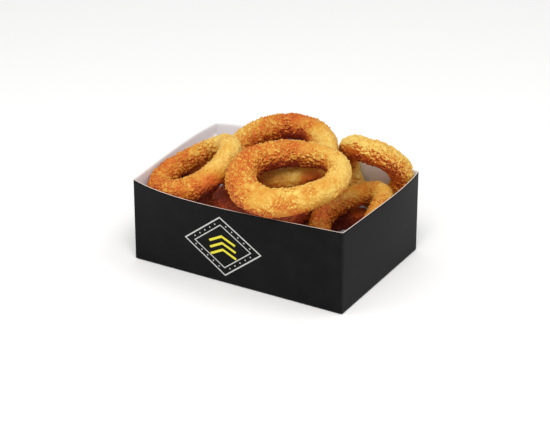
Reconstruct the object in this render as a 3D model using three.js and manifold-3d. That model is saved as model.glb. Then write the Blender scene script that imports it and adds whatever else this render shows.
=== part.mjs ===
import * as THREE from 'three';
import Module from 'manifold-3d';
import { mergeVertices } from 'three/addons/utils/BufferGeometryUtils.js';

// A side of onion rings heaped in a folded paperboard tray.
// Millimetres, +Z up, origin at the middle of the tray's underside,
// X along the tray's long walls.

// Tray, measured over the outside of its folds.
const TRAY_LENGTH = 140;
const TRAY_WIDTH = 94;
const TRAY_HEIGHT = 52;
const BOARD = 0.6;
const ABOVE_RIM = 5;

// The folds at the floor and corners are straight, and the top edges belly outward.
const LONG_BELLY = 7.9;
const LONG_BELLY_SKEW = - 0.68;
const SHORT_BELLY = 2.4;
const SHORT_BELLY_SKEW = 0.73;
const BELLY_RISE = 1.15;
const WALL_FACETS = [ 16, 10, 4 ];

// Glue flaps: the ends of the long walls, turned round the corners onto the short walls.
const FLAP_WIDTH = 15;
const FLAP_HEIGHT = 46;
const FLAP_TAPER = 4;

// Crust relief: broad lumps and smaller crags, both cut inward from the full tube.
const LUMP_SIZE = 11;
const LUMP_DEPTH = 0.9;
const CRAG_SIZE = 4.2;
const CRAG_DEPTH = 0.7;

// Each ring: where its middle lies, how many degrees its face leans toward +X and +Y,
// the radius of its middle line and of its tube. oval and warp stretch the middle line
// and lift it out of flat, heavy thickens one side, and each has its own direction.
const RINGS = [
	{ name: 'ring_top_front', at: [ 24.2, - 26, 67.5 ], lean: [ 3, - 11.5 ], radius: 25.4, tube: 8.8,
		oval: [ 0.12, 40 ], warp: [ 1.2, 0 ], heavy: [ 0.1, 210 ], across: 14, along: 54 },
	{ name: 'ring_top_back', at: [ - 7.3, 16.2, 58.4 ], lean: [ - 5.3, - 13.8 ], radius: 27.6, tube: 8.45,
		oval: [ 0.06, - 15 ], warp: [ 0.8, 80 ], heavy: [ 0.03, 80 ], across: 12, along: 46 },
	{ name: 'ring_left', at: [ - 40.9, - 24, 56.2 ], lean: [ - 26, - 15.5 ], radius: 22.7, tube: 7.8,
		oval: [ 0.08, 20 ], warp: [ 1.2, 30 ], heavy: [ 0.06, 300 ], across: 12, along: 42 },
	{ name: 'ring_standing', at: [ 43.9, 37.1, 49.9 ], lean: [ - 9.7, - 104.7 ], radius: 18.6, tube: 7.67,
		oval: [ 0, 0 ], warp: [ 3.8, 89 ], heavy: [ 0.13, 60 ], across: 12, along: 40 },
	{ name: 'ring_right', at: [ 47.7, 6.3, 33.8 ], lean: [ - 11, - 24.5 ], radius: 19.6, tube: 7.4,
		oval: [ 0.15, 78 ], warp: [ 2.8, 18 ], heavy: [ 0.05, 120 ], across: 12, along: 42 },
	{ name: 'ring_middle', at: [ - 2.7, - 13.9, 37.8 ], lean: [ 0, 0 ], radius: 22.4, tube: 7.9,
		oval: [ 0.02, 0 ], warp: [ 1, 45 ], heavy: [ 0, 0 ], across: 12, along: 40 },
	{ name: 'ring_inner_front', at: [ - 60.3, 4, 23.8 ], lean: [ 84, 0 ], radius: 16.5, tube: 7.2,
		oval: [ 0, 0 ], warp: [ 0.2, 0 ], heavy: [ 0, 0 ], across: 10, along: 36 },
	{ name: 'ring_inner_back', at: [ - 34.1, 27.8, 36 ], lean: [ - 4, 4 ], radius: 16.4, tube: 7.3,
		oval: [ 0, 0 ], warp: [ 0.5, 35 ], heavy: [ 0, 0 ], across: 10, along: 36 },
	{ name: 'ring_inner_middle', at: [ - 14.4, 10.2, 23 ], lean: [ 0, 0 ], radius: 23.4, tube: 7.6,
		oval: [ 0, 0 ], warp: [ 0.4, - 18 ], heavy: [ 0, 0 ], across: 10, along: 36 },
	{ name: 'ring_base_left', at: [ - 21.6, 15.5, 8.2 ], lean: [ 0, 0 ], radius: 23.7, tube: 7.7,
		oval: [ 0, 0 ], warp: [ 0.1, 0 ], heavy: [ 0, 0 ], across: 10, along: 36 },
	{ name: 'ring_base_right', at: [ 40.5, 9.1, 14.6 ], lean: [ - 2.5, - 17.6 ], radius: 20.7, tube: 8.05,
		oval: [ 0, 0 ], warp: [ 0.3, 70 ], heavy: [ 0, 0 ], across: 10, along: 36 }
];

const wasm = await Module();
wasm.setup();

const radians = THREE.MathUtils.degToRad;

// Solids

function toSolid( geometry ) {

	const plain = geometry.index ? geometry.clone() : geometry;
	plain.deleteAttribute( 'normal' );
	plain.deleteAttribute( 'uv' );
	const merged = mergeVertices( plain, 1e-4 );

	return new wasm.Manifold( new wasm.Mesh( {
		numProp: 3,
		vertProperties: new Float32Array( merged.attributes.position.array ),
		triVerts: new Uint32Array( merged.index.array )
	} ) );

}

function toGeometry( solid ) {

	const mesh = solid.getMesh();
	const geometry = new THREE.BufferGeometry();
	geometry.setAttribute( 'position', new THREE.BufferAttribute( mesh.vertProperties, 3 ) );
	geometry.setIndex( new THREE.BufferAttribute( mesh.triVerts, 1 ) );
	geometry.computeVertexNormals();
	return geometry;

}

function moveVertices( geometry, move ) {

	const positions = geometry.attributes.position;
	const point = new THREE.Vector3();

	for ( let i = 0; i < positions.count; i ++ ) {

		point.fromBufferAttribute( positions, i );
		move( point );
		positions.setXYZ( i, point.x, point.y, point.z );

	}

	return geometry;

}

// Tray

// How far an edge bellies out, from 0 at both ends (along = -1 and 1) to 1 at its fullest.
function bellyShape( along, skew ) {

	const peak = ( Math.sqrt( 1 + skew * skew ) - 1 ) / skew;
	const shape = ( s ) => ( 1 - s * s ) * Math.exp( skew * s );
	return Math.max( 0, shape( along ) ) / shape( peak );

}

// Bends a straight-walled box of the tray's size: each wall leans out toward its top edge.
function belly( point ) {

	const rise = Math.pow( Math.max( 0, point.z / TRAY_HEIGHT ), BELLY_RISE );
	const x = point.x / ( TRAY_LENGTH / 2 );
	const y = point.y / ( TRAY_WIDTH / 2 );
	point.y += y * rise * LONG_BELLY * bellyShape( THREE.MathUtils.clamp( x, - 1, 1 ), LONG_BELLY_SKEW );
	point.x += x * rise * SHORT_BELLY * bellyShape( THREE.MathUtils.clamp( y, - 1, 1 ), SHORT_BELLY_SKEW );

}

function bentBox( length, width, bottom, top ) {

	const box = new THREE.BoxGeometry( length, width, top - bottom, ...WALL_FACETS );
	box.translate( 0, 0, ( top + bottom ) / 2 );
	return toSolid( moveVertices( box, belly ) );

}

// A flap lies on the inside of a short wall, its free edge cut on a slant.
function glueFlap( endX, endY ) {

	const tuck = BOARD / 2;
	const depth = BOARD + tuck;
	const wall = TRAY_LENGTH / 2 - BOARD + tuck;
	const corner = TRAY_WIDTH / 2 - BOARD + tuck;
	const flap = new THREE.BoxGeometry( depth, FLAP_WIDTH, FLAP_HEIGHT, 1, 3, 4 );
	flap.translate( wall - depth / 2, corner - FLAP_WIDTH / 2, FLAP_HEIGHT / 2 + BOARD / 2 );

	moveVertices( flap, ( point ) => {

		const inward = ( corner - point.y ) / FLAP_WIDTH;
		point.z -= FLAP_TAPER * inward * point.z / FLAP_HEIGHT;
		point.x *= endX;
		point.y *= endY;
		belly( point );

	} );

	if ( endX * endY < 0 ) flap.index.array.reverse();
	return toSolid( flap );

}

function trayGeometry() {

	const outside = bentBox( TRAY_LENGTH, TRAY_WIDTH, 0, TRAY_HEIGHT );
	const inside = bentBox(
		TRAY_LENGTH - 2 * BOARD,
		TRAY_WIDTH - 2 * BOARD,
		BOARD,
		TRAY_HEIGHT + ABOVE_RIM
	);
	let tray = outside.subtract( inside );

	for ( const endX of [ - 1, 1 ] ) {

		for ( const endY of [ - 1, 1 ] ) {

			tray = tray.add( glueFlap( endX, endY ) );

		}

	}

	return toGeometry( tray );

}

// Onion rings

const HASH_STEP = 0x9e3779b1;
const HASH_RANGE = 0xffffffff;

// A repeatable number from 0 to 1 for each corner of a lattice.
function latticeValue( x, y, z, seed ) {

	let hash = seed;
	for ( const part of [ x, y, z ] ) hash = Math.imul( hash ^ ( hash >>> 15 ) ^ part, HASH_STEP );
	return ( ( hash ^ ( hash >>> 16 ) ) >>> 0 ) / HASH_RANGE;

}

// Smooth lumps of the given size, from 0 to 1.
function lumps( point, size, seed ) {

	const place = point.toArray().map( ( v ) => v / size );
	const cell = place.map( Math.floor );
	const part = place.map( ( v, i ) => THREE.MathUtils.smoothstep( v - cell[ i ], 0, 1 ) );
	let sum = 0;

	for ( let corner = 0; corner < 8; corner ++ ) {

		const step = [ corner & 1, ( corner >> 1 ) & 1, ( corner >> 2 ) & 1 ];
		const weight = step.reduce( ( w, s, i ) => w * ( s ? part[ i ] : 1 - part[ i ] ), 1 );
		const [ x, y, z ] = cell.map( ( c, i ) => c + step[ i ] );
		sum += weight * latticeValue( x, y, z, seed );

	}

	return sum;

}

// A wave round the ring: [ amount, direction in degrees ], peaks times per turn.
function wave( [ amount, direction ], turn, peaks ) {

	return amount * Math.cos( peaks * ( turn - radians( direction ) ) );

}

function ringGeometry( ring, seed ) {

	const torus = new THREE.TorusGeometry( ring.radius, ring.tube, ring.across, ring.along );

	moveVertices( torus, ( point ) => {

		const turn = Math.atan2( point.y, point.x );
		const lump = LUMP_DEPTH * ( 1 - lumps( point, LUMP_SIZE, seed ) );
		const crag = CRAG_DEPTH * ( 1 - lumps( point, CRAG_SIZE, seed + RINGS.length ) );
		const swell = ( 1 - ( lump + crag ) / ring.tube ) * ( 1 + wave( ring.heavy, turn, 1 ) );
		const out = ( Math.hypot( point.x, point.y ) - ring.radius ) * swell;
		const middle = ring.radius * ( 1 + wave( ring.oval, turn, 2 ) );
		point.set( ( middle + out ) * Math.cos( turn ), ( middle + out ) * Math.sin( turn ),
			point.z * swell + wave( ring.warp, turn, 2 ) );

	} );

	torus.deleteAttribute( 'normal' );
	torus.deleteAttribute( 'uv' );
	const geometry = mergeVertices( torus, 1e-4 );
	geometry.computeVertexNormals();
	return geometry;

}

// Turns a flat ring so that its face leans by the given degrees toward +X and +Y.
function leanRotation( [ leanX, leanY ] ) {

	const amount = radians( Math.hypot( leanX, leanY ) );
	const toward = Math.atan2( leanY, leanX );
	const face = new THREE.Vector3(
		Math.cos( toward ) * Math.sin( amount ),
		Math.sin( toward ) * Math.sin( amount ),
		Math.cos( amount )
	);
	const side = new THREE.Vector3( 1, 0, 0 ).addScaledVector( face, - face.x ).normalize();
	const up = new THREE.Vector3().crossVectors( face, side );
	return new THREE.Matrix4().makeBasis( side, up, face );

}

// Materials: one board, and a crust that browns a little differently on each ring.

const BOARD_BLACK = new THREE.Color( 0x222223 );
const CRUST_GOLD = new THREE.Color( 0xd98a34 );
const CRUST_BROWN = new THREE.Color( 0xb9651f );

function crustMaterial( browning ) {

	return new THREE.MeshStandardMaterial( {
		color: CRUST_GOLD.clone().lerp( CRUST_BROWN, browning ),
		roughness: 0.55,
		metalness: 0
	} );

}

const boardMaterial = new THREE.MeshStandardMaterial( { color: BOARD_BLACK, roughness: 0.5, metalness: 0 } );

// Assembly

const onionRings = new THREE.Group();

const tray = new THREE.Mesh( trayGeometry(), boardMaterial );
tray.name = 'tray';
onionRings.add( tray );

RINGS.forEach( ( ring, index ) => {

	const browning = index / RINGS.length;
	const mesh = new THREE.Mesh( ringGeometry( ring, index + 1 ), crustMaterial( browning ) );
	mesh.name = ring.name;
	mesh.position.set( ...ring.at );
	mesh.quaternion.setFromRotationMatrix( leanRotation( ring.lean ) );
	onionRings.add( mesh );

} );

export default onionRings;
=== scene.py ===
# %% [markdown]
# # A tray of onion rings
# A side of breaded onion rings is heaped in a black paperboard tray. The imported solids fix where
# every ring lies and how large it is. This lesson gives them their surfaces: board with a printed
# face and a white back, and a fried crust of breadcrumbs. Everything is in metres, in the frame of
# the solids.

# %% Load the frame
import math

import bmesh
import bpy
import numpy as np
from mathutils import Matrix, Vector


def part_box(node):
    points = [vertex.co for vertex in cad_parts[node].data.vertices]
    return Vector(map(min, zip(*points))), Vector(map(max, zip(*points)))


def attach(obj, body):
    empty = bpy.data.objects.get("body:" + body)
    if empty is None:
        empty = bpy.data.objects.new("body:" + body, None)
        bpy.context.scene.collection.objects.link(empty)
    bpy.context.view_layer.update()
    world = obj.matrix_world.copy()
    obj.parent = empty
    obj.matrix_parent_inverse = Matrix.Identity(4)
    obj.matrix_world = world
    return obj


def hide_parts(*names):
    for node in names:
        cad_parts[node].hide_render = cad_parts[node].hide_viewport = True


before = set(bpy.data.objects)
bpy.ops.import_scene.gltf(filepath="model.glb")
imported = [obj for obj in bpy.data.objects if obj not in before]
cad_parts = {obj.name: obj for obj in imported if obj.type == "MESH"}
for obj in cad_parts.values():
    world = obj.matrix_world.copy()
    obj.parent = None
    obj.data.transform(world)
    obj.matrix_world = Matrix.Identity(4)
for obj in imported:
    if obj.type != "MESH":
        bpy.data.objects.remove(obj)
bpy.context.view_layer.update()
MM = 0.001
SAME_POINT = 0.001 * MM

# %% [markdown]
# ## Maths as sentences
# A material or a geometry tree is a chain of small sums. Written as nodes and links, each sum takes
# several lines. `Field` wraps one socket, so that `1 - mask * 0.3` builds its own Math nodes.
# `Tree.add` makes any other node: its settings first, then what goes into its sockets.

# %% A class for sums
class Field:
    """A socket that Python sums can use, with a plain number on either side."""

    def __init__(self, tree, socket):
        self.tree = tree
        self.socket = socket

    def maths(self, operation, *values):
        return self.tree.add("ShaderNodeMath", {"operation": operation}, dict(enumerate(values)))

    def __add__(self, other):
        return self.maths("ADD", self, other)

    def __sub__(self, other):
        return self.maths("SUBTRACT", self, other)

    def __rsub__(self, other):
        return self.maths("SUBTRACT", other, self)

    def __mul__(self, other):
        return self.maths("MULTIPLY", self, other)

    def __truediv__(self, other):
        return self.maths("DIVIDE", self, other)

    def __rtruediv__(self, other):
        return self.maths("DIVIDE", other, self)

    __radd__ = __add__
    __rmul__ = __mul__

    def __abs__(self):
        return self.maths("ABSOLUTE", self)

    def ramp(self, low, high):
        """0 up to low, 1 from high on, and a smooth rise between."""
        return self.tree.add("ShaderNodeMapRange", {"interpolation_type": "SMOOTHSTEP"},
                             {"Value": self, "From Min": low, "From Max": high})


print("sums make their own nodes")

# %% A class for trees
class Tree:
    """Adds nodes to a shader or geometry tree."""

    def __init__(self, node_tree):
        self.node_tree = node_tree

    def node(self, kind, settings=None, inputs=None):
        """A new node. Its settings come first, because they decide which sockets it has."""
        made = self.node_tree.nodes.new(kind)
        for name, value in (settings or {}).items():
            setattr(made, name, value)
        for key, value in (inputs or {}).items():
            socket = made.inputs[key] if isinstance(key, int) else self.find(made.inputs, key)
            if isinstance(value, Field):
                self.node_tree.links.new(value.socket, socket)
            else:
                socket.default_value = value
        return made

    def find(self, sockets, name):
        """The socket of that name which the node's settings leave on."""
        return next(s for s in sockets if s.enabled and s.name == name)

    def add(self, kind, settings=None, inputs=None, output=None):
        """One output of a new node, the first where none is named."""
        outputs = self.node(kind, settings, inputs).outputs
        socket = self.find(outputs, output) if output else next(s for s in outputs if s.enabled)
        return Field(self, socket)

    def vector(self, operation, *values, output="Vector"):
        settings = {"operation": operation}
        return self.add("ShaderNodeVectorMath", settings, dict(enumerate(values)), output)

    def dot(self, one, other):
        """How far two directions agree, as a number."""
        return self.vector("DOT_PRODUCT", one, other, output="Value")

    def scaled(self, direction, by):
        return self.add("ShaderNodeVectorMath", {"operation": "SCALE"},
                        {"Vector": direction, "Scale": by})

    def height_of(self, place):
        """How high a place is, or how far a direction points up."""
        return self.add("ShaderNodeSeparateXYZ", {}, {"Vector": place}, "Z")

    def mix(self, mask, first, second):
        """A colour that goes from first to second as mask goes from 0 to 1."""
        return self.add("ShaderNodeMix", {"data_type": "RGBA"},
                        {"Factor": mask, "A": first, "B": second})

    def noise(self, place, size, detail=2.0, roughness=0.5, output=None):
        """Smooth random values from 0 to 1, with features about as wide as size."""
        return self.add("ShaderNodeTexNoise", {},
                        {"Vector": place, "Scale": 1 / size, "Detail": detail, "Roughness": roughness},
                        output)


print("trees take any node")

# %% [markdown]
# Every material here starts from an empty tree and ends in one Principled shader. What is the same
# all over a surface is a plain number on that shader, and what varies comes in as a field.

# %% Colours and materials
def colour(red, green, blue):
    """A colour picked as 0 to 255 on a screen, as the linear values that a shader takes.

    The screen's curve is the sRGB standard's, and its numbers are the standard's own.
    """
    def linear(value):
        value = value / 255
        return value / 12.92 if value <= 0.04045 else ((value + 0.055) / 1.055) ** 2.4

    return (linear(red), linear(green), linear(blue), 1.0)


def new_material(name):
    """An empty material and its tree."""
    material = bpy.data.materials.new(name)
    material.use_nodes = True
    material.node_tree.nodes.clear()
    return material, Tree(material.node_tree)


def finish_surface(tree, settings):
    """A Principled shader with the given sockets, joined to the material's output."""
    shader = tree.add("ShaderNodeBsdfPrincipled", {}, settings)
    tree.node("ShaderNodeOutputMaterial", {}, {"Surface": shader})


def object_place(tree):
    """Object coordinates, which stay with a piece when it is seen from anywhere else."""
    return tree.add("ShaderNodeTexCoord", output="Object")


def bumped(tree, height, strength, depth):
    """A normal that makes a height map stand out by at most depth."""
    return tree.add("ShaderNodeBump", {}, {"Height": height, "Strength": strength, "Distance": depth})


print("materials have a start and a finish")

# %% [markdown]
# ## Board
# The tray is folding boxboard: wood fibre, white on the inside, with black ink and a matt varnish
# on the outside. The ink hides the fibres, but they still mottle its gloss. Handling scuffs it
# along the folds, where grey shows through. The mottling is noise at two sizes on Object
# coordinates, because the board has no weave that would need a UV map.

# %% Printed black
BOARD_INK = colour(12, 12, 13)
BOARD_INK_WORN = colour(52, 52, 53)
FIBRE_SIZE = 0.7 * MM
FIBRE_DETAIL = 3.0
FIBRE_ROUGHNESS = 0.7
FIBRE_DEPTH = 0.05 * MM
FIBRES_UNDER_INK = 0.18
CLOUD_SIZE = 9 * MM
MOTTLE = 0.14
MOTTLE_RANGE = (0.35, 0.75)
RUBBED = 0.6
RUBBED_LEAST = 0.2
RUBBED_RANGE = (0.3, 0.6)
VARNISH_ROUGHNESS = 0.4
VARNISH_UNEVEN = 0.2
VARNISH_SHINE = 0.07


def black_board():
    material, tree = new_material("board_black")
    place = object_place(tree)
    fibres = tree.noise(place, FIBRE_SIZE, FIBRE_DETAIL, FIBRE_ROUGHNESS)
    clouds = tree.noise(place, CLOUD_SIZE, FIBRE_DETAIL)
    worn = tree.add("ShaderNodeAttribute", {"attribute_name": "worn"}, output="Fac")
    mottle = (fibres + clouds) / 2
    rubbed = fibres.ramp(*RUBBED_RANGE) * RUBBED + RUBBED_LEAST
    grey = mottle.ramp(*MOTTLE_RANGE) * MOTTLE + worn * rubbed
    finish_surface(tree, {
        "Base Color": tree.mix(grey, BOARD_INK, BOARD_INK_WORN),
        "Roughness": mottle * VARNISH_UNEVEN + VARNISH_ROUGHNESS,
        "Specular IOR Level": VARNISH_SHINE,
        "Normal": bumped(tree, fibres, FIBRES_UNDER_INK, FIBRE_DEPTH),
    })
    return material


BLACK_BOARD = black_board()
print("made", BLACK_BOARD.name)

# %% [markdown]
# The back of the board has no ink, so its fibres show as faint grey. Fat from the food soaks into it
# in a few patches near the floor, which turn yellower and glossier. The cut edge shows the grey-brown
# core of the board, rough and without any coating.

# %% White back, and the cut edge
BOARD_WHITE = colour(246, 247, 250)
BOARD_SHADE = colour(230, 233, 239)
FIBRES_OF_BACK = 0.15
FIBRE_RANGE = (0.35, 0.7)
BACK_ROUGHNESS = 0.62
GREASE = colour(222, 200, 160)
GREASE_RANGE = (0.62, 0.75)
GREASE_FULL_BELOW = 4 * MM
GREASE_NONE_ABOVE = 26 * MM
GREASE_TINT = 0.8
GREASE_GLOSS = 0.3
EDGE_PALE = colour(238, 226, 218)
EDGE_BROWN = colour(205, 186, 174)
EDGE_DETAIL = 4.0
EDGE_FIBRE_ROUGHNESS = 0.8
FIBRES_IN_EDGE = 0.6
STRETCHES_IN_EDGE = 0.5
EDGE_ROUGHNESS = 0.9


def white_board():
    material, tree = new_material("board_white")
    place = object_place(tree)
    fibres = tree.noise(place, FIBRE_SIZE, FIBRE_DETAIL, FIBRE_ROUGHNESS)
    low_down = 1 - tree.height_of(place).ramp(GREASE_FULL_BELOW, GREASE_NONE_ABOVE)
    grease = tree.noise(place, CLOUD_SIZE).ramp(*GREASE_RANGE) * low_down
    board = tree.mix(fibres.ramp(*FIBRE_RANGE), BOARD_SHADE, BOARD_WHITE)
    finish_surface(tree, {
        "Base Color": tree.mix(grease * GREASE_TINT, board, GREASE),
        "Roughness": BACK_ROUGHNESS - grease * GREASE_GLOSS,
        "Normal": bumped(tree, fibres, FIBRES_OF_BACK, FIBRE_DEPTH),
    })
    return material


def cut_edge():
    material, tree = new_material("board_edge")
    place = object_place(tree)
    fibres = tree.noise(place, FIBRE_SIZE, EDGE_DETAIL, EDGE_FIBRE_ROUGHNESS)
    pale = fibres * FIBRES_IN_EDGE + tree.noise(place, CLOUD_SIZE) * STRETCHES_IN_EDGE
    finish_surface(tree, {
        "Base Color": tree.mix(pale, EDGE_BROWN, EDGE_PALE),
        "Roughness": EDGE_ROUGHNESS,
    })
    return material


WHITE_BOARD = white_board()
CUT_EDGE = cut_edge()
print("made", WHITE_BOARD.name, "and", CUT_EDGE.name)

# %% [markdown]
# ## The tray's shape
# Folded board keeps straight lines at its floor and corners, but the top edges of the walls are
# pushed outward by the food. So the tray starts as a straight-sided box, and each point is then
# moved out, more the higher it is and the nearer it is to the middle of its wall. The solid was
# bent by the same rule, so the finer tray lies on it.

# %% How the walls belly out
TRAY_LENGTH = 140 * MM
TRAY_WIDTH = 94 * MM
TRAY_HEIGHT = 52 * MM
BOARD = 0.6 * MM
LONG_BELLY = 7.9 * MM
LONG_BELLY_SKEW = -0.68
SHORT_BELLY = 2.4 * MM
SHORT_BELLY_SKEW = 0.73
BELLY_RISE = 1.15


def belly_shape(along, skew):
    """0 at both ends of a wall, 1 where it is fullest."""
    peak = (math.sqrt(1 + skew * skew) - 1) / skew
    along = np.clip(along, -1, 1)
    return (1 - along ** 2) * np.exp(skew * along) / ((1 - peak ** 2) * math.exp(skew * peak))


def bend(points):
    """Moves points of the straight box to where the bent board has them."""
    x, y, z = points.T
    rise = np.maximum(0, z / TRAY_HEIGHT) ** BELLY_RISE
    along_x = x / (TRAY_LENGTH / 2)
    along_y = y / (TRAY_WIDTH / 2)
    bent_y = y + along_y * rise * LONG_BELLY * belly_shape(along_x, LONG_BELLY_SKEW)
    bent_x = x + along_x * rise * SHORT_BELLY * belly_shape(along_y, SHORT_BELLY_SKEW)
    return np.column_stack([bent_x, bent_y, z])


tray_low, tray_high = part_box("tray")
print("tray solid:", [round((b - a) / MM, 1) for a, b in zip(tray_low, tray_high)], "mm")

# %% [markdown]
# The board is lofted: a rounded rectangle is drawn once for each height, and every outline has the
# same number of points, so neighbours are joined by quads. The rows run from the middle of the
# underside, round the floor fold, up the outside, over the cut edge, down the inside and across the
# floor, and make one closed skin of one thickness.

# %% Outlines of the tray
FOLD_RADIUS = 0.9 * MM
INNER_RADIUS = 0.35 * MM
LONG_STEPS = 90
SHORT_STEPS = 60
CORNER_STEPS = 6


def outline(inset, radius):
    """A rounded rectangle that lies inset from the tray's outer folds."""
    half_x = TRAY_LENGTH / 2 - inset
    half_y = TRAY_WIDTH / 2 - inset
    corners = [(1, -1, -90), (1, 1, 0), (-1, 1, 90), (-1, -1, 180)]
    steps = [SHORT_STEPS, LONG_STEPS, SHORT_STEPS, LONG_STEPS]
    arcs = []
    for side_x, side_y, start in corners:
        turn = np.radians(start + np.linspace(0, 90, CORNER_STEPS + 1))
        arcs.append(np.column_stack([
            side_x * (half_x - radius) + radius * np.cos(turn),
            side_y * (half_y - radius) + radius * np.sin(turn),
        ]))
    rows = []
    for index, arc in enumerate(arcs):
        following = arcs[(index + 1) % len(arcs)][0]
        along = np.linspace(0, 1, steps[index] + 1)[1:-1, None]
        rows += [arc, arc[-1] * (1 - along) + following * along]
    return np.vstack(rows)


print("points in an outline:", len(outline(0, FOLD_RADIUS)))

# %% Rows of the tray, from underside to floor
WALL_ROWS = 34
FOLD_ROWS = 6
INNER_FOLD_ROWS = 4
EDGE_ROUND = 0.08 * MM
UNDERSIDE_INSETS = (40 * MM, 20 * MM, 6 * MM, 1.6 * MM)
FLOOR_INSETS = (2.5 * MM, 8 * MM, 22 * MM, 40 * MM)


def tray_rows():
    """Each row's inset, corner radius, height, and the face of the board that follows it."""
    rows = [(inset, FOLD_RADIUS, 0.0, "outside") for inset in UNDERSIDE_INSETS]
    for turn in np.radians(np.linspace(0, 90, FOLD_ROWS)):
        inset = FOLD_RADIUS * (1 - math.sin(turn))
        rows.append((inset, FOLD_RADIUS, FOLD_RADIUS * (1 - math.cos(turn)), "outside"))
    for height in np.linspace(FOLD_RADIUS, TRAY_HEIGHT - EDGE_ROUND, WALL_ROWS)[1:]:
        rows.append((0.0, FOLD_RADIUS, height, "outside"))
    rows.append((EDGE_ROUND, FOLD_RADIUS - EDGE_ROUND, TRAY_HEIGHT, "edge"))
    rows.append((BOARD - EDGE_ROUND, INNER_RADIUS, TRAY_HEIGHT, "inside"))
    for height in np.linspace(TRAY_HEIGHT - EDGE_ROUND, BOARD + INNER_RADIUS, WALL_ROWS):
        rows.append((BOARD, INNER_RADIUS, height, "inside"))
    for turn in np.radians(np.linspace(90, 0, INNER_FOLD_ROWS))[1:]:
        inset = BOARD + INNER_RADIUS * (1 - math.sin(turn))
        rows.append((inset, INNER_RADIUS, BOARD + INNER_RADIUS * (1 - math.cos(turn)), "inside"))
    rows += [(inset, INNER_RADIUS, BOARD, "inside") for inset in FLOOR_INSETS]
    return rows


print("rows:", len(tray_rows()))

# %% A mesh from rows of points
def loft(name, rows, faces_of_row, materials, marks=None):
    """Joins closed rows of points by quads and shuts both ends.

    faces_of_row picks the material of the band above each row, and marks are values for the points.
    """
    count = len(rows[0])
    faces = [tuple(range(count - 1, -1, -1))]
    slots = [faces_of_row[0]]
    for row in range(len(rows) - 1):
        for step in range(count):
            beside = (step + 1) % count
            low, high = row * count, (row + 1) * count
            faces.append((low + step, low + beside, high + beside, high + step))
            slots.append(faces_of_row[row])
    faces.append(tuple(range((len(rows) - 1) * count, len(rows) * count)))
    slots.append(faces_of_row[-1])
    mesh = bpy.data.meshes.new(name)
    mesh.from_pydata(np.vstack(rows).tolist(), [], faces)
    for material in materials:
        mesh.materials.append(material)
    mesh.polygons.foreach_set("material_index", slots)
    for attribute, values in (marks or {}).items():
        mark = mesh.attributes.new(attribute, "FLOAT", "POINT")
        mark.data.foreach_set("value", np.asarray(values, float))
    mesh.shade_smooth()
    piece = bpy.data.objects.new(name, mesh)
    bpy.context.collection.objects.link(piece)
    return piece


print("rows can be joined to a skin")

# %% [markdown]
# Handling rubs the ink off where the board bends: at the four upright corners and along the floor
# fold. Each point of the skin is marked with that wear, and the black ink's material reads the mark.

# %% The tray's board
UPRIGHT_WEAR = 0.45
FLOOR_WEAR_FROM = 0.15
FLOOR_WEAR_TO = 0.75
BOARD_FACES = {"outside": BLACK_BOARD, "inside": WHITE_BOARD, "edge": CUT_EDGE}


def fold_wear(rows):
    """1 on the bends of the board, where handling rubs the ink off, and 0 on the flat walls."""
    marks = []
    for inset, radius, height, _ in rows:
        from_folds = (TRAY_LENGTH / 2, TRAY_WIDTH / 2) - np.abs(outline(inset, radius))
        upright = (from_folds < UPRIGHT_WEAR * radius).all(axis=1)
        floor_fold = FLOOR_WEAR_FROM * FOLD_RADIUS < height < FLOOR_WEAR_TO * FOLD_RADIUS
        marks.append(np.maximum(upright, floor_fold).astype(float))
    return np.concatenate(marks)


def bent_outline(inset, radius, height):
    flat = outline(inset, radius)
    return bend(np.column_stack([flat, np.full(len(flat), height)]))


def build_tray():
    rows = tray_rows()
    places = [bent_outline(inset, radius, height) for inset, radius, height, _ in rows]
    bands = [list(BOARD_FACES).index(face) for _, _, _, face in rows]
    return loft("tray_board", places, bands, BOARD_FACES.values(), {"worn": fold_wear(rows)})


tray = build_tray()
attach(tray, "root")
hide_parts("tray")
print("tray_board has", len(tray.data.polygons), "faces")

# %% [markdown]
# ## Glue flaps
# The ends of the long walls turn the corner and are glued inside the short walls. Each flap is a
# small sheet of the same board, cut on a slant at its top, and its free edge stands off the wall by
# a hair, which is what casts the thin shadow line in a real tray.

# %% Four flaps
FLAP_WIDTH = 15 * MM
FLAP_HEIGHT = 46 * MM
FLAP_TAPER = 4 * MM
FLAP_CURL = 0.35 * MM
FLAP_CLEAR = 0.2 * MM
FLAP_FOOT = 0.1 * MM
FLAP_GLUE = 0.02 * MM
FLAP_STEPS = 8


def flap_outline(depth, end_x, end_y):
    """The flap's edge, at one depth of its thickness, as a closed row of points."""
    corner = TRAY_WIDTH / 2 - BOARD - FLAP_CLEAR
    wall = TRAY_LENGTH / 2 - BOARD
    low = BOARD + FLAP_FOOT
    steps = np.linspace(0, 1, FLAP_STEPS + 1)
    bottom = [(s, low) for s in steps]
    free = [(1, low + s * (FLAP_HEIGHT - FLAP_TAPER - low)) for s in steps[1:]]
    top = [(1 - s, FLAP_HEIGHT - FLAP_TAPER * (1 - s)) for s in steps[1:]]
    glued = [(0, FLAP_HEIGHT - s * (FLAP_HEIGHT - low)) for s in steps[1:-1]]
    inward, height = np.array(bottom + free + top + glued).T
    x = wall - depth - FLAP_CURL * inward ** 3
    y = corner - inward * FLAP_WIDTH
    row = bend(np.column_stack([x, y, height]) * (end_x, end_y, 1))
    return row if end_x * end_y > 0 else row[::-1]


def build_flap(end_x, end_y):
    rows = [flap_outline(depth, end_x, end_y) for depth in (FLAP_GLUE, BOARD)]
    name = f"glue_flap_{'right' if end_x > 0 else 'left'}_{'back' if end_y > 0 else 'front'}"
    return loft(name, rows, [1, 0], [WHITE_BOARD, CUT_EDGE])


for end_x in (-1, 1):
    for end_y in (-1, 1):
        flap = build_flap(end_x, end_y)
        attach(flap, "root")
        print("made", flap.name)

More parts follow.
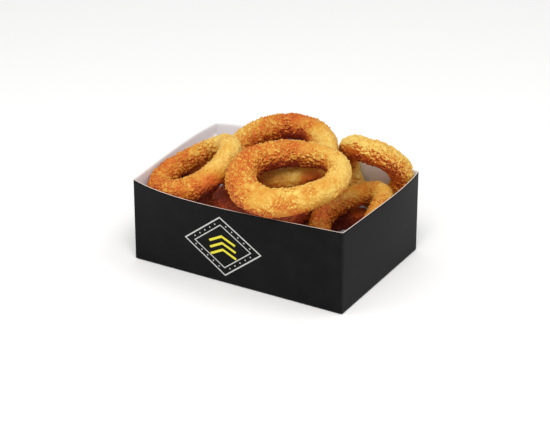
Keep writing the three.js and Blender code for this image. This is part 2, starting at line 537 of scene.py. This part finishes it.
# %% [markdown]
# ## The print
# The front wall carries a small ornament in white and yellow ink. It is drawn flat, as lines with a
# width, and laid on the bent wall, so it follows the bow of the board. Each line is given the
# thickness of an ink film, which keeps its edges crisp from any distance.

# %% Inks
INK_WHITE = colour(196, 196, 192)
INK_YELLOW = colour(226, 214, 44)
INK_GRAIN = 0.35 * MM
INK_RANGE = (0.2, 0.45)
INK_THIN = 0.25
INK_ROUGHNESS = 0.55


def ink(name, tint):
    material, tree = new_material(name)
    place = object_place(tree)
    coverage = tree.noise(place, INK_GRAIN, FIBRE_DETAIL, FIBRE_ROUGHNESS).ramp(*INK_RANGE)
    finish_surface(tree, {
        "Base Color": tree.mix(coverage * INK_THIN + (1 - INK_THIN), BOARD_INK_WORN, tint),
        "Roughness": INK_ROUGHNESS,
    })
    return material


WHITE_INK = ink("ink_white", INK_WHITE)
YELLOW_INK = ink("ink_yellow", INK_YELLOW)
print("made", WHITE_INK.name, "and", YELLOW_INK.name)

# %% [markdown]
# A drawn line needs a width. Each of its points is pushed to both sides by half of it, and at a
# corner the push follows the mitre between the two directions, so the outside of the corner stays
# sharp. Long lines are cut into short steps, because a long straight edge would leave the bowed wall.

# %% Lines with a width
PRINT_ACROSS = -7 * MM
PRINT_UP = 25.5 * MM
INK_FILM = 0.05 * MM
INK_STEP = 1.5 * MM


def on_front_wall(flat, lift):
    """Flat points, across and up from the ornament's middle, as points on the bent front wall."""
    across, up = (np.asarray(flat, float) + (PRINT_ACROSS, PRINT_UP)).T
    wall = bend(np.column_stack([across, np.full(len(across), -TRAY_WIDTH / 2), up]))
    return np.column_stack([across, wall[:, 1] - lift, up])


def mitred_sides(corners, width, closed):
    """The left and right point at each corner of a line."""
    count = len(corners)
    sides = []
    for index, corner in enumerate(corners):
        before = corner - corners[index - 1] if closed or index else None
        after = corners[(index + 1) % count] - corner if closed or index < count - 1 else None
        before = after if before is None else before
        after = before if after is None else after
        normals = [np.array([-d[1], d[0]]) / np.hypot(*d) for d in (before, after)]
        mitre = normals[0] + normals[1]
        mitre *= width / (mitre @ mitre)
        sides.append((corner + mitre, corner - mitre))
    return sides + sides[:1] if closed else sides


def stroke(corners, width, closed=False):
    """A drawn line as two rows of points, its left and right edge."""
    sides = mitred_sides(np.asarray(corners, float), width, closed)
    left, right = [], []
    for (left_a, right_a), (left_b, right_b) in zip(sides, sides[1:]):
        steps = max(1, int(np.hypot(*(left_b - left_a)) / INK_STEP))
        for along in np.arange(steps) / steps:
            left.append(left_a * (1 - along) + left_b * along)
            right.append(right_a * (1 - along) + right_b * along)
    left.append(sides[-1][0])
    right.append(sides[-1][1])
    return left, right


print("lines are mitred and cut into steps of", INK_STEP / MM, "mm")

# %% Lines as a film of ink
def film(name, strokes, material):
    """All strokes of one ink as one piece, thin closed prisms that stand a film off the wall."""
    mesh = bmesh.new()
    for left, right in strokes:
        layers = [[mesh.verts.new(p) for p in on_front_wall(side, lift)]
                  for lift in (INK_FILM, -INK_FILM) for side in (left, right)]
        rim = [layers[0], layers[1], layers[3], layers[2]]
        for one, other in zip(rim, rim[1:] + rim[:1]):
            for step in range(len(one) - 1):
                mesh.faces.new((one[step], one[step + 1], other[step + 1], other[step]))
        mesh.faces.new([edge[0] for edge in rim])
        mesh.faces.new([edge[-1] for edge in reversed(rim)])
    bmesh.ops.remove_doubles(mesh, verts=mesh.verts, dist=SAME_POINT)
    bmesh.ops.recalc_face_normals(mesh, faces=mesh.faces)
    data = bpy.data.meshes.new(name)
    mesh.to_mesh(data)
    mesh.free()
    data.materials.append(material)
    piece = bpy.data.objects.new(name, data)
    bpy.context.collection.objects.link(piece)
    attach(piece, "root")


print("a film stands", INK_FILM / MM, "mm off the wall")

# %% [markdown]
# The ornament is a lozenge in a double line, with a row of beads between the lines on each side and
# chevrons in the middle. It is plain geometry, the kind of mark that any stock tray might carry.

# %% The ornament
LOZENGE_ACROSS = 25 * MM
LOZENGE_UP = 20 * MM
INNER_SHARE = 0.74
OUTER_LINE = 0.8 * MM
INNER_LINE = 0.6 * MM
CHEVRONS = 3
CHEVRON_HALF = 8.5 * MM
CHEVRON_RISE = 4.6 * MM
CHEVRON_PITCH = 4.6 * MM
CHEVRON_LINE = 1.5 * MM
BEADS_ON_A_SIDE = 5
BEAD = 0.77 * MM


def lozenge(share):
    across, up = LOZENGE_ACROSS * share, LOZENGE_UP * share
    return [(across, 0), (0, up), (-across, 0), (0, -up)]


def chevron(rank):
    low = (rank - (CHEVRONS - 1) / 2) * CHEVRON_PITCH - CHEVRON_RISE / 2
    return [(-CHEVRON_HALF, low), (0, low + CHEVRON_RISE), (CHEVRON_HALF, low)]


def bead(across, up):
    """A small filled square, drawn as one short, wide stroke."""
    return stroke([(across - BEAD / 2, up), (across, up), (across + BEAD / 2, up)], BEAD)


def beads():
    """Beads in even steps along the four sides, halfway between the two lines."""
    between = (1 + INNER_SHARE) / 2
    made = []
    for step in range(1, BEADS_ON_A_SIDE + 1):
        share = step / (BEADS_ON_A_SIDE + 1)
        for side_x in (-1, 1):
            for side_y in (-1, 1):
                made.append(bead(side_x * LOZENGE_ACROSS * between * share,
                                 side_y * LOZENGE_UP * between * (1 - share)))
    return made


white_strokes = [
    stroke(lozenge(1), OUTER_LINE, closed=True),
    stroke(lozenge(INNER_SHARE), INNER_LINE, closed=True),
    *beads(),
]
yellow_strokes = [stroke(chevron(rank), CHEVRON_LINE) for rank in range(CHEVRONS)]
film("print_white", white_strokes, WHITE_INK)
film("print_yellow", yellow_strokes, YELLOW_INK)
print("print:", len(white_strokes), "white strokes and", len(yellow_strokes), "yellow ones")

# %% [markdown]
# ## Fried crust: the colours
# Breadcrumbs fry unevenly, and some crumbs toast brown. The crumb tops are coloured paler, a painted
# highlight, and the hollows between crumbs darker amber, a painted shade. A ring is paler toward one
# end, partly from frying and partly as painted shade on its darker side. The side that faces its own
# hole is darkest, partly because it fries darker and partly as painted shade. Undersides and rings
# deep in the heap get painted shade too. So the material adds up how far each place has browned, with
# that painted shade, and takes its colour from that sum. It reads five marks that the crust's geometry
# leaves on it: `browning` for the ring, its ends and its underside, `inner_and_shade` for the
# hole's side and for shaded spots, `relief` for crumb and pit, `tone` for the single crumb, and
# `smooth` where the coating set like batter. Patches, spots and grit are noise.

# %% The crust material
CRUST_PALE = colour(226, 192, 98)
CRUST_GOLD = colour(208, 147, 50)
CRUST_AMBER = colour(196, 94, 24)
CRUST_BROWN = colour(137, 49, 24)
PATCH_SIZE = 13 * MM
SPOT_SIZE = 3.5 * MM
GRIT_SIZE = 0.6 * MM
SPECKLE_DETAIL = 3.0
GRIT_ROUGHNESS = 0.7
PIT_RANGE = (0.0, 0.75)
PALE_TO_GOLD = (-0.1, 0.42)
GOLD_TO_AMBER = (0.3, 0.85)
AMBER_TO_BROWN = (0.8, 1.4)
INNER_DARKENING = 0.85
TONE_SPREAD = 0.25
SPOTS_SPREAD = 0.5
GRIT_SPREAD = 0.9
PIT_SHADE = 0.6
CRUMBS_PALER = 0.05
SMOOTH_IS_EVEN = 0.7
INNER_IS_EVEN = 0.3
GRIT_STRENGTH = 0.5
GRIT_DEPTH = 0.3 * MM
CRUST_ROUGHNESS = 0.68
CRUST_OILY = 0.3
CRUST_SHINE = 0.25


def crust():
    material, tree = new_material("fried_crust")
    place = object_place(tree)

    def mark(name):
        return tree.add("ShaderNodeAttribute", {"attribute_name": name}, output="Fac")

    patches = tree.noise(place, PATCH_SIZE) - 0.5
    spots = tree.noise(place, SPOT_SIZE, SPECKLE_DETAIL) - 0.5
    grit = tree.noise(place, GRIT_SIZE, SPECKLE_DETAIL, GRIT_ROUGHNESS)
    # Painted shade and highlight: where the relief is low, between crumbs, the colour is darker, and on
    # crumb tops it is paler.
    pit_shade = 1 - mark("relief").ramp(*PIT_RANGE)
    rough = 1 - mark("smooth") * SMOOTH_IS_EVEN - mark("inner_and_shade") * INNER_IS_EVEN
    # Painted shade joins the fry colour here: undersides, rings deep in the heap, the hole's side and
    # shaded spots are coloured darker.
    fried_and_shaded = mark("browning") + patches + mark("inner_and_shade") * INNER_DARKENING
    fried_and_shaded = fried_and_shaded + (mark("tone") - 0.5) * TONE_SPREAD
    speckle = spots * SPOTS_SPREAD + (grit - 0.5) * GRIT_SPREAD + pit_shade * PIT_SHADE - CRUMBS_PALER
    fried_and_shaded = fried_and_shaded + speckle * rough
    shade = tree.mix(fried_and_shaded.ramp(*PALE_TO_GOLD), CRUST_PALE, CRUST_GOLD)
    shade = tree.mix(fried_and_shaded.ramp(*GOLD_TO_AMBER), shade, CRUST_AMBER)
    shade = tree.mix(fried_and_shaded.ramp(*AMBER_TO_BROWN), shade, CRUST_BROWN)
    finish_surface(tree, {
        "Base Color": shade,
        "Roughness": CRUST_ROUGHNESS - grit * CRUST_OILY,
        "Specular IOR Level": CRUST_SHINE,
        "Normal": bumped(tree, grit * rough, GRIT_STRENGTH, GRIT_DEPTH),
    })
    return material


FRIED_CRUST = crust()
print("made", FRIED_CRUST.name)

# %% [markdown]
# ## Fried crust: the form
# Each ring's solid already has its true form and its broad lumps. A Geometry Nodes tree turns it
# into crust by lifting its surface along the normal by a sum of fields. Clumps and single crumbs are
# billows: noise folded at its middle value, which gives rounded bumps with sharp creases between
# them. Broad swells are plain noise. Patches where the coating set smooth, like batter, have less of
# both sizes of bump, and so has the side of the hole, where the crumbs were pressed flat.

# %% A tree with named inputs
def geometry_tree(name, inputs):
    """A Geometry Nodes tree, and its inputs as fields by name."""
    group = bpy.data.node_groups.new(name, "GeometryNodeTree")
    for label, kind, value in inputs:
        socket = group.interface.new_socket(label, in_out="INPUT", socket_type="NodeSocket" + kind)
        if value is not None:
            socket.default_value = value
    group.interface.new_socket("Result", in_out="OUTPUT", socket_type="NodeSocketGeometry")
    tree = Tree(group)
    start = tree.node("NodeGroupInput")
    return group, tree, {label: Field(tree, start.outputs[label]) for label, _, _ in inputs}


def stored(tree, geometry, name, value):
    """The geometry with a number stored on each of its points, under a name that materials can read."""
    return tree.add("GeometryNodeStoreNamedAttribute", {"data_type": "FLOAT", "domain": "POINT"},
                    {"Geometry": geometry, "Name": name, "Value": value})


def end_with(tree, geometry, material):
    """Real geometry with the material on it, as the tree's result."""
    real = tree.add("GeometryNodeRealizeInstances", {}, {"Geometry": geometry})
    finished = tree.add("GeometryNodeSetMaterial", {}, {"Geometry": real, "Material": material})
    tree.node("NodeGroupOutput", {}, {"Result": finished})


def grow(source, name, group, values):
    """Runs a tree on a copy of source, and keeps the result as a plain mesh."""
    carrier = bpy.data.objects.new(name, source.copy())
    bpy.context.collection.objects.link(carrier)
    modifier = carrier.modifiers.new("tree", "NODES")
    modifier.node_group = group
    sockets = {s.name: s.identifier for s in group.interface.items_tree if s.in_out == "INPUT"}
    for label, value in values.items():
        modifier[sockets[label]] = value
    bpy.context.view_layer.update()
    evaluated = carrier.evaluated_get(bpy.context.evaluated_depsgraph_get())
    mesh = bpy.data.meshes.new_from_object(evaluated)
    carrier.modifiers.clear()
    carrier.data = mesh
    mesh.name = name
    return carrier


print("ready to grow pieces from trees")

# %% [markdown]
# The band by a ring's own hole is darkest, partly because it fries darker there and partly as painted
# shade for the hollow of the hole and the side that faces down its axis. From the ring's middle and the
# axis through its hole, the tree finds the direction that leads outward at each point. Where the
# surface faces the other way, and a little down the axis, it belongs to the side of the hole. That band
# reaches further round the ring in the direction in which the ring is darkest.

# %% The band on the side of the hole
HOLE_SIDE_IN = 0.9
HOLE_SIDE_DOWN = 0.42
HOLE_SIDE_BLEND = 0.25


def hole_band(tree, given, normal, from_centre):
    """1 in the dark band on the side of the ring's own hole, partly fry colour and partly painted
    shade, and 0 elsewhere.
    """
    along_axis = tree.scaled(given["Axis"], tree.dot(from_centre, given["Axis"]))
    outward = tree.vector("NORMALIZE", tree.vector("SUBTRACT", from_centre, along_axis))
    inner_and_shade = 0 - tree.dot(outward, normal) * HOLE_SIDE_IN
    inner_and_shade = inner_and_shade - tree.dot(given["Axis"], normal) * HOLE_SIDE_DOWN
    inner_and_shade = inner_and_shade.ramp(given["Hole side from"], given["Hole side from"] + HOLE_SIDE_BLEND)
    toward = tree.dot(outward, given["Darkest toward"])
    return inner_and_shade * (toward + given["Darkest reach"]).ramp(0.0, 1.0)


print("a ring knows the side of its hole")

# %% The tree that makes crust
PALER_REACH = 25 * MM
UNDERSIDE = -0.7
UPPER_SIDE = 0.3
UNDERSIDE_SHADE = 0.5
CREASE = 0.2
CLUMPS_IN_RELIEF = 0.45
CRUMBS_IN_RELIEF = 0.55
CLUMPS_SUNK = 0.4
SMOOTH_IS_FLAT = 0.7
INNER_IS_FLAT = 0.25
BATTER_RANGE = (0.46, 0.62)
PALER_IS_SMOOTH = 0.7
TONE_SIZE = 0.7


def crust_tree():
    group, tree, given = geometry_tree("make_crust", [
        ("Ring", "Geometry", None),
        ("Centre", "Vector", None),
        ("Axis", "Vector", None),
        ("Swell size", "Float", 6 * MM),
        ("Swell", "Float", 0.6 * MM),
        ("Clump size", "Float", 3.2 * MM),
        ("Clump", "Float", 0.7 * MM),
        ("Crumb size", "Float", 1.5 * MM),
        ("Crumb", "Float", 0.5 * MM),
        ("Browning and shade", "Float", 0.3),
        ("Paler toward", "Vector", None),
        ("Both ends paler", "Float", 0.0),
        ("Hole side from", "Float", 0.1),
        ("Darkest toward", "Vector", None),
        ("Darkest reach", "Float", 0.5),
        ("Shaded spot", "Vector", None),
        ("Shaded spot reach", "Float", 0.0),
        ("Material", "Material", None),
    ])
    place = tree.add("GeometryNodeInputPosition")
    normal = tree.add("GeometryNodeInputNormal")

    def billows(size, detail):
        """Rounded bumps with creases between them: 0 in a crease, 1 on a bump."""
        return abs(tree.noise(place, size, detail) - 0.5).ramp(0.0, CREASE)

    swell = (tree.noise(place, given["Swell size"]) - 0.5) * given["Swell"] * 2
    clump = billows(given["Clump size"], 1.0)
    crumb = billows(given["Crumb size"], 2.0)

    from_centre = tree.vector("SUBTRACT", place, given["Centre"])
    inner_and_shade = hole_band(tree, given, normal, from_centre)
    # Paler toward one end: partly fry colour, partly painted shade that darkens the ring's lower,
    # shaded side.
    paler = tree.dot(from_centre, given["Paler toward"]) * (1 / PALER_REACH)
    batter = tree.noise(place, given["Swell size"] * 2) + paler * PALER_IS_SMOOTH
    smooth = batter.ramp(*BATTER_RANGE)
    bumps = clump * given["Clump"] + crumb * given["Crumb"]
    height = bumps * (1 - smooth * SMOOTH_IS_FLAT - inner_and_shade * INNER_IS_FLAT) + swell
    height = height - given["Clump"] * CLUMPS_SUNK

    paler = paler + (abs(paler) - paler) * given["Both ends paler"]
    # Painted shade: surfaces that face down are coloured darker.
    upper = tree.height_of(normal).ramp(UNDERSIDE, UPPER_SIDE)
    from_spot = tree.vector("DISTANCE", place, given["Shaded spot"], output="Value")
    marks = {
        "relief": clump * CLUMPS_IN_RELIEF + crumb * CRUMBS_IN_RELIEF,
        "tone": tree.noise(place, given["Crumb size"] * TONE_SIZE, 1.0),
        # Spots of painted shade, where a neighbouring ring shades this one, are stored with the hole's
        # band.
        "inner_and_shade": 1 - (1 - inner_and_shade) * from_spot.ramp(0.0, given["Shaded spot reach"]),
        "smooth": smooth,
        "browning": given["Browning and shade"] - paler + (1 - upper) * UNDERSIDE_SHADE,
    }

    surface = tree.add("GeometryNodeSetPosition", {},
                       {"Geometry": given["Ring"], "Offset": tree.scaled(normal, height)})
    for name, value in marks.items():
        surface = stored(tree, surface, name, value)
    surface = tree.add("GeometryNodeSetShadeSmooth", {}, {"Geometry": surface})
    end_with(tree, surface, given["Material"])
    return group


CRUST_TREE = crust_tree()
print("made the tree", CRUST_TREE.name)

# %% [markdown]
# ## How each ring was fried and shaded
# No two rings are alike, so each has a few facts of its own. Lengths are in millimetres:
#
# - `grain` is the side of the small squares that make its surface, coarser where little is seen.
# - `browning` is how far the whole ring has browned, plus painted shade for rings deep in the
#   heap or out of the light. Near 0 it is pale gold, and near 1 it is brown.
# - `paler` is the direction in which it gets paler, longer for a stronger change; this is partly fry
#   colour and partly painted shade on the ring's darker side. With `ends` at 1 the opposite end gets
#   paler too.
# - `side` is where the dark band by its hole starts, lower for a wider band; the band is partly fry
#   colour and partly painted shade. It is strongest towards `darkest`, and `reach` is how far it goes
#   round the ring.
# - `spot` is the middle of a spot of painted shade, where a neighbouring ring shades this one, and
#   `spot_reach` its radius.

# %% Facts of the rings
PLAIN = {"paler": (0.0, 0.0, 0.0), "ends": 0.0, "side": 0.1, "darkest": (0.0, 1.0, 0.0), "reach": 0.5,
         "spot": (0.0, 0.0, 0.0), "spot_reach": 0.01}
# Rings deep in the heap are coloured darker, a painted shade for the light that does not reach them,
# and get a coarser grain, since little of them is seen.
DEEP_IN_SHADE = {"grain": 0.45, "browning": 0.7}
FRIED_AND_SHADED = {
    # Each spot below is painted shade, where a neighbouring ring shades the ring it is on.
    "ring_top_front": {"grain": 0.35, "browning": 0.2, "paler": (0.18, -0.02, 0.0),
                       "side": 0.64, "darkest": (-0.1, 0.6, 0.0), "reach": 0.85},
    "ring_top_back": {"grain": 0.345, "browning": 0.58, "paler": (0.4, 0.0, 0.0), "ends": 1.0,
                      "side": 0.46, "darkest": (0.3, 2.7, 0.0), "reach": -1.7,
                      "spot": (24.0, 0.0, 56.0), "spot_reach": 13.0},
    "ring_left": {"grain": 0.33, "browning": 0.28, "paler": (0.16, 0.1, 0.2),
                  "side": 0.92, "darkest": (-0.6, 0.6, 0.0), "reach": 0.5,
                  "spot": (-18.0, -40.5, 56.0), "spot_reach": 16.0},
    "ring_standing": {"grain": 0.33, "browning": -0.24, "paler": (-0.12, 0.0, 0.0),
                      "side": -0.45, "darkest": (0.1, 0.0, 0.3), "reach": 0.68},
    "ring_right": {"grain": 0.33, "browning": 0.38, "paler": (0.1, 0.1, 0.1), "side": 0.9},
    "ring_middle": dict(DEEP_IN_SHADE, grain=0.38, browning=1.1),
    "ring_inner_front": DEEP_IN_SHADE,
    "ring_inner_back": DEEP_IN_SHADE,
    "ring_inner_middle": DEEP_IN_SHADE,
    "ring_base_left": DEEP_IN_SHADE,
    "ring_base_right": dict(DEEP_IN_SHADE, browning=0.85),
}
print("rings to fry:", len(FRIED_AND_SHADED))

# %% [markdown]
# The crust needs small even faces to push about, and the solid has large ones. Two rounds of
# subdivision round the facets off, and a voxel remesh then covers the ring with even squares. A
# subdivision alone would leave long thin faces round the hole.

# %% Solids with a fine, even surface
ROUNDING_LEVELS = 2


def rounded_solid(node, grain):
    """A copy of a solid with its facets rounded off and its surface cut into even squares."""
    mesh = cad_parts[node].data.copy()
    loose = bmesh.new()
    loose.from_mesh(mesh)
    bmesh.ops.remove_doubles(loose, verts=loose.verts, dist=SAME_POINT)
    loose.to_mesh(mesh)
    loose.free()
    carrier = bpy.data.objects.new("rounded", mesh)
    bpy.context.collection.objects.link(carrier)
    rounding = carrier.modifiers.new("rounding", "SUBSURF")
    rounding.levels = rounding.render_levels = ROUNDING_LEVELS
    even = carrier.modifiers.new("even", "REMESH")
    even.mode = "VOXEL"
    even.voxel_size = grain * MM
    even.use_smooth_shade = True
    evaluated = carrier.evaluated_get(bpy.context.evaluated_depsgraph_get())
    rounded = bpy.data.meshes.new_from_object(evaluated)
    bpy.data.objects.remove(carrier)
    return rounded


def middle_and_axis(mesh):
    """A ring's middle, and the direction through its hole, in which its points spread least."""
    points = np.zeros(len(mesh.vertices) * 3)
    mesh.vertices.foreach_get("co", points)
    points = points.reshape(-1, 3)
    middle = points.mean(axis=0)
    _, directions = np.linalg.eigh(np.cov((points - middle).T))
    axis = directions[:, 0]
    return middle, axis if axis[2] > 0 else -axis


print("solids are rounded", ROUNDING_LEVELS, "times")

# %% Rings with their crust
rings = {}
for node, own in FRIED_AND_SHADED.items():
    fried_and_shaded = {**PLAIN, **own}
    rounded = rounded_solid(node, fried_and_shaded["grain"])
    middle, axis = middle_and_axis(rounded)
    piece = grow(rounded, node + "_crust", CRUST_TREE, {
        "Centre": middle.tolist(),
        "Axis": axis.tolist(),
        "Browning and shade": fried_and_shaded["browning"],
        "Paler toward": fried_and_shaded["paler"],
        "Both ends paler": fried_and_shaded["ends"],
        "Hole side from": fried_and_shaded["side"],
        "Darkest toward": fried_and_shaded["darkest"],
        "Darkest reach": fried_and_shaded["reach"],
        "Shaded spot": [v * MM for v in fried_and_shaded["spot"]],
        "Shaded spot reach": fried_and_shaded["spot_reach"] * MM,
        "Material": FRIED_CRUST,
    })
    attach(piece, "root")
    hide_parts(node)
    rings[node] = piece
    print(piece.name, "has", len(piece.data.polygons), "faces")

# %% [markdown]
# ## Loose crumbs
# Single crumbs stick to the crust and break its outline. They repeat by the thousand, so Geometry
# Nodes scatters them: random points on the crust, a low-sided lump on each, turned and stretched
# at random, and pushed about by noise once they are real geometry.

# %% The tree that scatters crumbs
LEAST_STRETCH = (0.7, 0.55, 0.45)
MOST_STRETCH = (1.3, 1.0, 0.8)
FULL_TURN = (math.tau, math.tau, math.tau)
WOBBLE_SIZE = 0.6 * MM
WOBBLE = 0.6 * MM
# A high relief on loose crumbs gives them the paler colour of crumb tops, a painted highlight.
CRUMB_RELIEF = 0.7


def crumb_tree():
    group, tree, given = geometry_tree("scatter_crumbs", [
        ("Crust", "Geometry", None),
        ("Per square metre", "Float", 2.2e5),
        ("Smallest", "Float", 0.3 * MM),
        ("Largest", "Float", 0.8 * MM),
        ("Seed", "Int", 1),
        ("Material", "Material", None),
    ])
    points = tree.add("GeometryNodeDistributePointsOnFaces", {"distribute_method": "RANDOM"}, {
        "Mesh": given["Crust"],
        "Density": given["Per square metre"],
        "Seed": given["Seed"],
    }, "Points")

    def random(kind, low, high, seed):
        return tree.add("FunctionNodeRandomValue", {"data_type": kind},
                        {"Min": low, "Max": high, "Seed": given["Seed"] + seed})

    points = stored(tree, points, "tone", random("FLOAT", 0.0, 1.0, 1))
    lump = tree.add("GeometryNodeMeshIcoSphere", {}, {"Radius": 1.0, "Subdivisions": 1})
    size = random("FLOAT", 0.0, 1.0, 2)
    size = given["Smallest"] + size * size * (given["Largest"] - given["Smallest"])
    scale = tree.scaled(random("FLOAT_VECTOR", LEAST_STRETCH, MOST_STRETCH, 3), size)
    turn = random("FLOAT_VECTOR", (0.0, 0.0, 0.0), FULL_TURN, 4)
    crumbs = tree.add("GeometryNodeInstanceOnPoints", {},
                      {"Points": points, "Instance": lump, "Rotation": turn, "Scale": scale})
    crumbs = tree.add("GeometryNodeRealizeInstances", {}, {"Geometry": crumbs})
    wobble = tree.noise(tree.add("GeometryNodeInputPosition"), WOBBLE_SIZE, 1.0, output="Color")
    wobble = tree.scaled(tree.vector("SUBTRACT", wobble, (0.5, 0.5, 0.5)), WOBBLE)
    crumbs = tree.add("GeometryNodeSetPosition", {}, {"Geometry": crumbs, "Offset": wobble})
    end_with(tree, stored(tree, crumbs, "relief", CRUMB_RELIEF), given["Material"])
    return group


CRUMB_TREE = crumb_tree()
print("made the tree", CRUMB_TREE.name)

# %% Crumbs on every ring
crumb_faces = 0
for seed, (node, piece) in enumerate(rings.items()):
    crumbs = grow(piece.data, node + "_crumbs", CRUMB_TREE, {"Seed": seed + 1, "Material": FRIED_CRUST})
    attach(crumbs, "root")
    crumb_faces += len(crumbs.data.polygons)
print("loose crumbs:", crumb_faces, "faces in all")

# %% [markdown]
# ## The studio
# A pale floor runs out of sight and the surroundings are white. They fill the shadows, and leave
# the black board black.

# %% Floor and surroundings
FLOOR_REACH = 4.0
FLOOR_DROP = 0.1 * MM
FLOOR_TINT = colour(250, 250, 250)
FLOOR_ROUGHNESS = 0.8
FLOOR_SHINE = 0.2
SURROUNDINGS = 0.7


def build_floor():
    mesh = bpy.data.meshes.new("floor")
    corners = [(-FLOOR_REACH, -FLOOR_REACH, 0), (FLOOR_REACH, -FLOOR_REACH, 0),
               (FLOOR_REACH, FLOOR_REACH, 0), (-FLOOR_REACH, FLOOR_REACH, 0)]
    mesh.from_pydata(corners, [], [(0, 1, 2, 3)])
    material, tree = new_material("floor_pale")
    finish_surface(tree, {
        "Base Color": FLOOR_TINT,
        "Roughness": FLOOR_ROUGHNESS,
        "Specular IOR Level": FLOOR_SHINE,
    })
    mesh.materials.append(material)
    floor = bpy.data.objects.new("floor", mesh)
    bpy.context.collection.objects.link(floor)
    floor.location.z = -FLOOR_DROP


def light_surroundings(strength):
    world = bpy.data.worlds.new("surroundings")
    world.use_nodes = True
    background = world.node_tree.nodes["Background"]
    background.inputs["Color"].default_value = colour(255, 255, 255)
    background.inputs["Strength"].default_value = strength
    bpy.context.scene.world = world


build_floor()
light_surroundings(SURROUNDINGS)
bpy.context.scene.view_settings.view_transform = "Standard"
print("floor and surroundings are in place")

# %% [markdown]
# Four round soft boxes light the food. The key is by far the strongest and slightly warm. It stands
# high at the front right, so it models the crumbs from above. A low one in front lifts the black
# wall and the print, and one on each side keeps the ends of the heap from going dark.

# %% Soft boxes
WARM_WHITE = (1.0, 0.98, 0.95)
PURE_WHITE = (1.0, 1.0, 1.0)
SOFT_BOX_SIZE = 0.4
SOFT_BOXES = {  # degrees round from the front, degrees up, metres away, watts, colour
    "key": (28, 60, 0.9, 3.3, WARM_WHITE),
    "front": (8, 26, 1.1, 0.8, PURE_WHITE),
    "left": (-42, 42, 1.0, 0.8, PURE_WHITE),
    "right": (112, 64, 1.0, 1.2, PURE_WHITE),
}


def out_to(azimuth, elevation):
    """The direction from the tray to something that stands round it and above it."""
    turn, rise = math.radians(azimuth), math.radians(elevation)
    return Vector((math.sin(turn) * math.cos(rise), -math.cos(turn) * math.cos(rise), math.sin(rise)))


def soft_box(name, azimuth, elevation, distance, power, tint):
    """A round area light that looks at the tray."""
    light = bpy.data.lights.new(name, "AREA")
    light.shape = "DISK"
    light.size = SOFT_BOX_SIZE
    light.energy = power
    light.color = tint
    lamp = bpy.data.objects.new(name, light)
    bpy.context.collection.objects.link(lamp)
    direction = out_to(azimuth, elevation)
    lamp.location = direction * distance
    lamp.rotation_euler = direction.to_track_quat("Z", "Y").to_euler()


for name, facts in SOFT_BOXES.items():
    soft_box(name, *facts)

# %% [markdown]
# The camera stands to the right of the front and looks down on the tray. A long lens from far away
# keeps the walls nearly parallel, as food is often shown.

# %% The camera
CAMERA_AZIMUTH = 30
CAMERA_ELEVATION = 26.5
CAMERA_DISTANCE = 1.334
CAMERA_TARGET = Vector((-4.87, 6.64, 18.5)) * MM
LENS = 146
SENSOR_WIDTH = 36
NEAREST_SEEN = 0.05


def place_camera():
    camera = bpy.data.cameras.new("camera")
    camera.lens = LENS
    camera.sensor_width = SENSOR_WIDTH
    camera.sensor_fit = "HORIZONTAL"
    camera.clip_start = NEAREST_SEEN
    holder = bpy.data.objects.new("camera", camera)
    bpy.context.collection.objects.link(holder)
    back = out_to(CAMERA_AZIMUTH, CAMERA_ELEVATION)
    holder.location = CAMERA_TARGET + back * CAMERA_DISTANCE
    holder.rotation_euler = back.to_track_quat("Z", "Y").to_euler()
    bpy.context.scene.camera = holder


place_camera()
print("camera is", CAMERA_DISTANCE, "m away")
